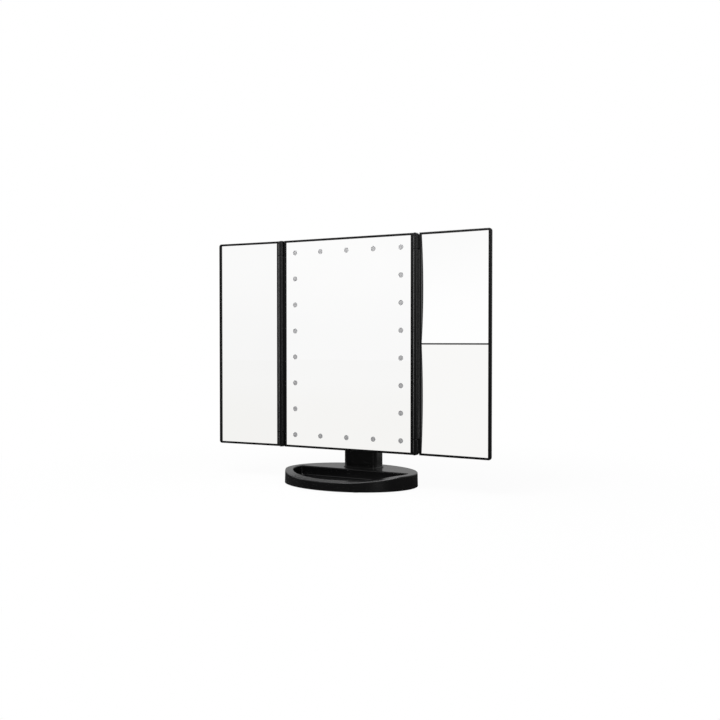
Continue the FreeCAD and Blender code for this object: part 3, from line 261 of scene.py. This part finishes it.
frosted, wire, place = new_finish("frosted_window")
radial = from_nearest_light(wire, place)
speckle = wire.noise(place, FROST_SCALE, detail=2.0)
middle = 1.0 - radial.ramp(MIDDLE_R, MIDDLE_FADED_R)
close_finish(wire, {
    "Base Color": middle.blend(WINDOW_GREY, WINDOW_MIDDLE),
    "Roughness": 0.45 + 0.12 * speckle,
    "Normal": wire.bump(speckle, strength=0.15, distance=0.00003),
})
dress(frosted, "led_lenses")

# Light board and control board: glass-fibre boards with green solder mask.
# Copper runs show through the mask as a fine pattern.
MASK_GREEN = (0.010, 0.070, 0.022, 1)
MASK_OVER_COPPER = (0.030, 0.140, 0.050, 1)
RUN_SCALE = 180.0
RUN_W = 0.03
MOTTLE_SCALE = 300.0
solder_mask, wire, place = new_finish("solder_mask")
runs = wire.node("ShaderNodeTexBrick", {}, {"Vector": place, "Scale": RUN_SCALE, "Mortar Size": RUN_W}, "Fac")
mottle = wire.noise(place, MOTTLE_SCALE, detail=2.0)
close_finish(wire, {
    "Base Color": runs.blend(MASK_GREEN, MASK_OVER_COPPER),
    "Roughness": 0.28 + 0.15 * mottle,
    "Normal": wire.bump(runs, strength=0.2, distance=0.00004),
})
dress(solder_mask, "led_board", "control_board")

# Lights: surface-mounted chips, white rim and a yellow phosphor middle.
# One sits behind each window.
PHOSPHOR = (0.80, 0.58, 0.10, 1)
CHIP_WHITE = (0.82, 0.82, 0.80, 1)
PHOSPHOR_R = 0.0011
CHIP_RIM_R = 0.0014
chip_face, wire, place = new_finish("chip_face")
radial = from_nearest_light(wire, place)
close_finish(wire, {
    "Base Color": radial.ramp(PHOSPHOR_R, CHIP_RIM_R).blend(PHOSPHOR, CHIP_WHITE),
    "Roughness": 0.4,
})
dress(chip_face, "leds")

# Touch pad: a disc of copper foil stuck behind the glass, below the middle.
# The foil is bright, with rolled streaks.
COPPER = (0.70, 0.36, 0.22, 1)
COPPER_BRIGHT = (0.82, 0.46, 0.30, 1)
STREAK_SCALE = 500.0
foil, wire, place = new_finish("copper_foil")
streak = wire.noise(place, STREAK_SCALE, detail=3.0)
close_finish(wire, {
    "Base Color": streak.blend(COPPER, COPPER_BRIGHT),
    "Metallic": 1.0,
    "Roughness": 0.25 + 0.2 * streak,
})
dress(foil, "touch_pad")

# Power socket and battery contacts: a drawn steel shell with a tongue inside, and stamped plates.
# Both are plain nickel plate.
NICKEL = (0.52, 0.51, 0.49, 1)
NICKEL_BRIGHT = (0.64, 0.63, 0.60, 1)
HAZE_SCALE = 900.0
nickel, wire, place = new_finish("nickel_plate")
haze = wire.noise(place, HAZE_SCALE, detail=3.0)
close_finish(wire, {
    "Base Color": haze.blend(NICKEL, NICKEL_BRIGHT),
    "Metallic": 1.0,
    "Roughness": 0.22 + 0.14 * haze,
})
dress(nickel, "usb_socket", "battery_contacts")

# Slide switch: a moulded body on the board, and a ribbed knob that comes through the cover.
# The knob is a dull slate grey, so that it can be found on the black back.
SLATE = (0.050, 0.051, 0.054, 1)
SLATE_PALER = (0.066, 0.067, 0.071, 1)
KNOB_GRAIN_SCALE = 1800.0
slate_grey, wire, place = new_finish("slate_grey")
grain = wire.noise(place, KNOB_GRAIN_SCALE, detail=2.0)
close_finish(wire, {
    "Base Color": grain.ramp(0.3, 0.7).blend(SLATE, SLATE_PALER),
    "Roughness": 0.42 + 0.12 * grain,
    "Normal": wire.bump(grain, strength=0.15, distance=0.00002),
})
dress(slate_grey, "switch_knob")
dress(moulded_black, "switch_body")

# Cells: four AAA cans in a shrunk plastic sleeve, with bare metal at both ends, every second one upside down.
# A copper-coloured band marks the nub end of each.
CELL_PITCH = 0.0109
CELL_FIRST_X = -0.01635
FLAT_END_LOW_Z = 0.1057
FLAT_END_HIGH_Z = 0.1466
SLEEVE_START = 0.0002
SLEEVE_L = 0.0424
SLEEVE_EDGE = 0.0003
BAND_FROM_FLAT_END = 0.0279
BAND_EDGE = 0.0002
CAN_STEEL = (0.58, 0.57, 0.55, 1)
SLEEVE_DARK = (0.016, 0.016, 0.018, 1)
SLEEVE_COPPER = (0.36, 0.20, 0.09, 1)
SCUFF_SCALE = 350.0
sleeved, wire, place = new_finish("sleeved_can")
x, _, z = wire.axes(place)
pairs = (x - (CELL_FIRST_X - CELL_PITCH / 2)) / (2 * CELL_PITCH)
turned = wire.math("FRACT", pairs).ramp(0.49, 0.51)
from_flat_end = (z - FLAT_END_LOW_Z) + turned * (FLAT_END_LOW_Z + FLAT_END_HIGH_Z - 2 * z)
past_start = from_flat_end.ramp(SLEEVE_START, SLEEVE_START + SLEEVE_EDGE)
past_end = from_flat_end.ramp(SLEEVE_L, SLEEVE_L + SLEEVE_EDGE)
inside = past_start * (1.0 - past_end)
band = from_flat_end.ramp(BAND_FROM_FLAT_END, BAND_FROM_FLAT_END + BAND_EDGE)
scuff = wire.noise(place, SCUFF_SCALE, detail=3.0)
close_finish(wire, {
    "Base Color": inside.blend(CAN_STEEL, band.blend(SLEEVE_DARK, SLEEVE_COPPER)),
    "Metallic": 1.0 - 0.75 * inside,
    "Roughness": 0.24 + 0.12 * scuff,
})
dress(sleeved, "battery_cells")

# Contact springs: nickel wire wound into tapering coils, one at the flat end of each cell.
# Each takes the place of a plain cone.
CELL_COUNT = 4
CELL_Y = 0.0036
SPRING_L = 0.0036
SPRING_WIRE_R = 0.0003
SPRING_WIRE_SIDES = 8
SPRING_WIDE_R = 0.0029
SPRING_TIP_R = 0.0015
SPRING_TURNS = 4
SPRING_STEPS = 20
BAY_LOW_Z = 0.1021
BAY_HIGH_Z = 0.1502


def add_piece(name, bm, material, body):
    """A finished mesh as an object at the origin, on its body."""
    mesh = bpy.data.meshes.new(name)
    bm.to_mesh(mesh)
    bm.free()
    mesh.materials.append(material)
    piece = bpy.data.objects.new(name, mesh)
    bpy.context.scene.collection.objects.link(piece)
    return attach(piece, body)


def smooth_faces(bm, sharp_deg):
    """Smooth shading, broken where faces meet at more than an angle."""
    for face in bm.faces:
        face.smooth = True
    for edge in bm.edges:
        edge.smooth = edge.is_boundary or edge.calc_face_angle(0.0) < math.radians(sharp_deg)


def wind_spring(bm, x, start_z, way):
    """One tapering coil, wound from its wide end at start_z, upward or downward."""
    circle = bmesh.ops.create_circle(bm, cap_ends=False, radius=SPRING_WIRE_R, segments=SPRING_WIRE_SIDES)
    ring = circle["verts"]
    bmesh.ops.rotate(bm, verts=ring, cent=(0, 0, 0), matrix=Matrix.Rotation(math.pi / 2, 3, "X"))
    bmesh.ops.translate(bm, verts=ring, vec=(SPRING_WIDE_R, 0, SPRING_WIRE_R))
    edges = list({edge for vert in ring for edge in vert.link_edges})
    rise = SPRING_L - 2 * SPRING_WIRE_R
    steps = SPRING_TURNS * SPRING_STEPS
    before = set(bm.verts) - set(ring)
    bmesh.ops.spin(
        bm, geom=ring + edges, cent=(0, 0, 0), axis=(0, 0, 1), dvec=(0, 0, rise / steps),
        angle=2 * math.pi * SPRING_TURNS, steps=steps, use_duplicate=False,
    )
    coil = [vert for vert in bm.verts if vert not in before]
    for vert in coil:
        share = min(max((vert.co.z - SPRING_WIRE_R) / rise, 0.0), 1.0)
        radius = math.hypot(vert.co.x, vert.co.y)
        inward = (SPRING_WIDE_R - SPRING_TIP_R) * share
        vert.co.x *= (radius - inward) / radius
        vert.co.y *= (radius - inward) / radius
    open_ends = [edge for edge in bm.edges if edge.is_boundary]
    bmesh.ops.holes_fill(bm, edges=open_ends, sides=SPRING_WIRE_SIDES)
    if way < 0:
        bmesh.ops.scale(bm, verts=coil, vec=(1, 1, -1))
    bmesh.ops.translate(bm, verts=coil, vec=(x, CELL_Y, start_z))


bm = bmesh.new()
for index in range(CELL_COUNT):
    start_z, way = (BAY_LOW_Z, 1) if index % 2 == 0 else (BAY_HIGH_Z, -1)
    wind_spring(bm, CELL_FIRST_X + index * CELL_PITCH, start_z, way)
bmesh.ops.recalc_face_normals(bm, faces=bm.faces)
smooth_faces(bm, 60)
springs = add_piece("contact_springs", bm, nickel, "panel")
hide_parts("battery_springs")

# Leads: stranded wire in soft sleeves, from the contacts and the light board to the control board.
# One of each pair is red and the other black.
LEAD_RED = (0.30, 0.012, 0.010, 1)
LEAD_BLACK = (0.012, 0.012, 0.012, 1)
CREASE_SCALE = 800.0
lead_sleeve, wire, place = new_finish("lead_sleeve")
x, _, _ = wire.axes(place)
crease = wire.noise(place, CREASE_SCALE, detail=2.0)
close_finish(wire, {
    "Base Color": x.ramp(-0.001, 0.001).blend(LEAD_RED, LEAD_BLACK),
    "Roughness": 0.45 + 0.15 * crease,
})
dress(lead_sleeve, "power_leads", "light_leads")

# Battery cover: a flush black plate with finger grooves, which lifts off the back.
# It is moulded from the housing's black.
dress(moulded_black, "battery_cover")

# Left wing: a thin black tray with one flat mirror on foam, whose two knuckles turn on the panel's pins.
# Its silver is a little greyer than the centre's: painted shade, which darkens its reflection.
# Painted shade: this silver is darkened so that the left glass shows a darker reflection than the centre.
SILVER_PAINTED_DARKER = (0.954, 0.954, 0.951, 1)
SILVER_PAINTED_DARKER_SMEARED = (0.944, 0.944, 0.940, 1)
darker_painted_silvered = silvered_glass("painted_shade_silvered_glass", SILVER_PAINTED_DARKER, SILVER_PAINTED_DARKER_SMEARED)
dress(moulded_black, "left_wing_tray")
dress(darker_painted_silvered, "left_mirror")

# Right wing: the same tray with a divider bar, and two bent glasses that magnify, with the brightest silver.
# Each glass is a shallow bowl: its corners stand at the rim and its middle lies furthest back.
HINGE_X = 0.08905
HINGE_Y = -0.0103
FRONT_Y = -0.0100
RIGHT_REST_DEG = 2.1
PANE_MID_X = 0.1349
PANE_HALF_W = 0.0394
PANE_SETBACK = 0.0005
PANE_T = 0.0015
PANE_COLUMNS = 28
PANE_ROWS = 42
BRIGHT_SILVER = (0.992, 0.992, 0.991, 1)
BRIGHT_SILVER_SMEARED = (0.984, 0.984, 0.982, 1)
dress(moulded_black, "right_wing_tray")
bright_silvered = silvered_glass("bright_silvered_glass", BRIGHT_SILVER, BRIGHT_SILVER_SMEARED)
turn_to_rest = (
    Matrix.Translation((HINGE_X, HINGE_Y, 0))
    @ Matrix.Rotation(math.radians(-RIGHT_REST_DEG), 4, "Z")
    @ Matrix.Translation((-HINGE_X, -HINGE_Y, 0))
)
for name, node, mid_z, half_h, radius in (
    ("upper_magnifying_glass", "right_upper_mirror", 0.22235, 0.05925, 0.900),
    ("lower_magnifying_glass", "right_lower_mirror", 0.10185, 0.05965, 1.200),
):
    corner_sag = radius - math.sqrt(radius ** 2 - PANE_HALF_W ** 2 - half_h ** 2)
    middle_y = FRONT_Y + PANE_SETBACK + corner_sag
    bm = bmesh.new()
    bmesh.ops.create_grid(bm, x_segments=PANE_COLUMNS, y_segments=PANE_ROWS, size=1.0)
    bmesh.ops.scale(bm, verts=bm.verts, vec=(PANE_HALF_W, half_h, 1))
    bmesh.ops.rotate(bm, verts=bm.verts, cent=(0, 0, 0), matrix=Matrix.Rotation(math.pi / 2, 3, "X"))
    for vert in bm.verts:
        sag = radius - math.sqrt(radius ** 2 - vert.co.x ** 2 - vert.co.z ** 2)
        vert.co.y = middle_y - sag
    front = list(bm.faces)
    shell = bmesh.ops.extrude_face_region(bm, geom=front)
    back = [item for item in shell["geom"] if isinstance(item, bmesh.types.BMVert)]
    bmesh.ops.translate(bm, verts=back, vec=(0, PANE_T, 0))
    bmesh.ops.translate(bm, verts=bm.verts, vec=(PANE_MID_X, 0, mid_z))
    bmesh.ops.transform(bm, matrix=turn_to_rest, verts=bm.verts)
    bmesh.ops.recalc_face_normals(bm, faces=bm.faces)
    smooth_faces(bm, 40)
    glass = add_piece(name, bm, bright_silvered, "right_wing")
    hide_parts(node)

# Room: a white sweep that shows as white to the eye and, faintly hazed, in the mirrors.
# Satin plastic sees plain grey walls, darkest low in front, which are paler behind and higher up.
WHITE = (1, 1, 1, 1)
MIRROR_HAZE = (0.972, 0.972, 0.972, 1)
FRONT_LOW_WALL = (0.18, 0.18, 0.18, 1)
BACK_LOW_WALL = (0.44, 0.44, 0.44, 1)
HIGH_WALL = (0.50, 0.50, 0.50, 1)
scene = bpy.context.scene
scene.view_settings.view_transform = "Standard"
world = bpy.data.worlds.new("white_room")
scene.world = world
world.use_nodes = True
world.node_tree.nodes.clear()
wire = Wire(world.node_tree)


def ray_kinds(wire):
    """Each is 1 for its rays: to the eye or through glass, and in a clear mirror."""
    kinds = wire.node("ShaderNodeLightPath", {}, {}, "Is Camera Ray").socket.node.outputs
    direct = Wire(wire.tree, kinds["Is Camera Ray"]) + Wire(wire.tree, kinds["Is Transmission Ray"])
    mirrored = Wire(wire.tree, kinds["Is Glossy Ray"]) * Wire(wire.tree, kinds["Is Singular Ray"])
    return direct, mirrored


direct, mirrored = ray_kinds(wire)
_, along, upward = wire.axes(wire.node("ShaderNodeTexCoord", {}, {}, "Generated"))
low_wall = along.ramp(-0.2, 0.2).blend(FRONT_LOW_WALL, BACK_LOW_WALL)
wall = upward.ramp(0.0, 0.4).blend(low_wall, HIGH_WALL)
room = wire.node("ShaderNodeBackground", {}, {"Color": wall, "Strength": 1.0})
haze = mirrored * (1.0 - upward.ramp(-0.01, 0.09))
sweep = haze.blend(WHITE, MIRROR_HAZE)
white = wire.node("ShaderNodeBackground", {}, {"Color": sweep, "Strength": 1.0})
seen_white = wire.math("MINIMUM", direct + mirrored, 1.0)
mixed = wire.node("ShaderNodeMixShader", {}, {0: seen_white, 1: room, 2: white})
wire.node("ShaderNodeOutputWorld", {}, {"Surface": mixed}, None)

# Floor: a pale table that runs into the sweep and keeps the object's faint shadow.
# In the mirrors it is a warm white with painted shade, darker near the object, and to satin plastic it is
# dark in front and pale behind.
FLOOR_HALF = 6.0
FLOOR_PAINT = (0.80, 0.80, 0.80, 1)
FLOOR_NEAR_WHITE = 0.94
SHADOW_NEAR = 0.12
SHADOW_GONE = 0.55
TABLE_IN_FRONT = (0.06, 0.06, 0.06, 1)
TABLE_BEHIND = (0.80, 0.80, 0.80, 1)
BEHIND_FROM_Y = 0.10
BEHIND_FULL_Y = 0.60
# Painted shade: as the mirrors show it, the floor is darker near the object than far away.
FLOOR_IN_MIRROR_PAINTED_SHADE = (0.941, 0.936, 0.922, 1)
FLOOR_IN_MIRROR_FAR = (0.958, 0.957, 0.952, 1)
MIRROR_NEAR = 0.3
MIRROR_FAR = 3.0
bm = bmesh.new()
bmesh.ops.create_grid(bm, x_segments=1, y_segments=1, size=FLOOR_HALF)
mesh = bpy.data.meshes.new("floor")
bm.to_mesh(mesh)
bm.free()
floor = bpy.data.objects.new("floor", mesh)
scene.collection.objects.link(floor)
floor_white, wire, place = new_finish("floor_white")
x, y, _ = wire.axes(place)
reach = wire.math("SQRT", x * x + y * y)
direct, mirrored = ray_kinds(wire)
behind = y.ramp(BEHIND_FROM_Y, BEHIND_FULL_Y)
table = direct.blend(behind.blend(TABLE_IN_FRONT, TABLE_BEHIND), FLOOR_PAINT)
paint = wire.node("ShaderNodeBsdfDiffuse", {}, {"Color": table})
in_mirror = reach.ramp(MIRROR_NEAR, MIRROR_FAR).blend(FLOOR_IN_MIRROR_PAINTED_SHADE, FLOOR_IN_MIRROR_FAR)
glow_colour = mirrored.blend(WHITE, in_mirror)
glow = wire.node("ShaderNodeEmission", {}, {"Color": glow_colour, "Strength": 1.0})
near = direct * (FLOOR_NEAR_WHITE + (1.0 - FLOOR_NEAR_WHITE) * reach.ramp(SHADOW_NEAR, SHADOW_GONE))
share = wire.math("MINIMUM", near + mirrored, 1.0)
mixed = wire.node("ShaderNodeMixShader", {}, {0: share, 1: paint, 2: glow})
wire.node("ShaderNodeOutputMaterial", {}, {"Surface": mixed}, None)
mesh.materials.append(floor_white)

# Lamps: two tall soft boxes, one well to the left and one to the right of the eye, and soft lights above,
# in front and behind. They draw the paired highlights down the hinge barrels and stay out of the flat
# mirrors. Azimuths run from the front to the right.
LAMP_AIM = Vector((0, 0, 0.15))
for name, azimuth_deg, distance, height, size_x, size_y, power in (
    ("left_box", -74, 1.3, 0.35, 0.35, 1.1, 1.5),
    ("right_box", 50, 1.5, 0.35, 0.35, 1.1, 1.8),
    ("top_box", 150, 0.6, 1.6, 1.2, 1.2, 4.0),
    ("front_box", 0, 0.45, 0.65, 0.4, 0.4, 3.8),
    ("back_box", -150, 1.6, 0.8, 1.6, 0.7, 0.8),
):
    lamp = bpy.data.lights.new(name, "AREA")
    lamp.shape = "RECTANGLE"
    lamp.size = size_x
    lamp.size_y = size_y
    lamp.energy = power
    box = bpy.data.objects.new(name, lamp)
    turn = math.radians(azimuth_deg)
    box.location = (distance * math.sin(turn), -distance * math.cos(turn), height)
    box.rotation_euler = (LAMP_AIM - box.location).to_track_quat("-Z", "Y").to_euler()
    scene.collection.objects.link(box)

# Camera: about a metre away, some 30 degrees to the right of the mirror's front and level with its middle.
# It looks across the front from there, as the photograph does.
SENSOR_MM = 36.0
LENS_MM = 46.5
CAMERA_PLACE = (0.5355, -0.93035, 0.1656)
CAMERA_PITCH_DEG = 88.8185
CAMERA_YAW_DEG = 29.339
camera_data = bpy.data.cameras.new("camera")
camera_data.sensor_width = SENSOR_MM
camera_data.lens = LENS_MM
camera = bpy.data.objects.new("camera", camera_data)
camera.location = CAMERA_PLACE
camera.rotation_euler = (math.radians(CAMERA_PITCH_DEG), 0, math.radians(CAMERA_YAW_DEG))
scene.collection.objects.link(camera)
scene.camera = camera
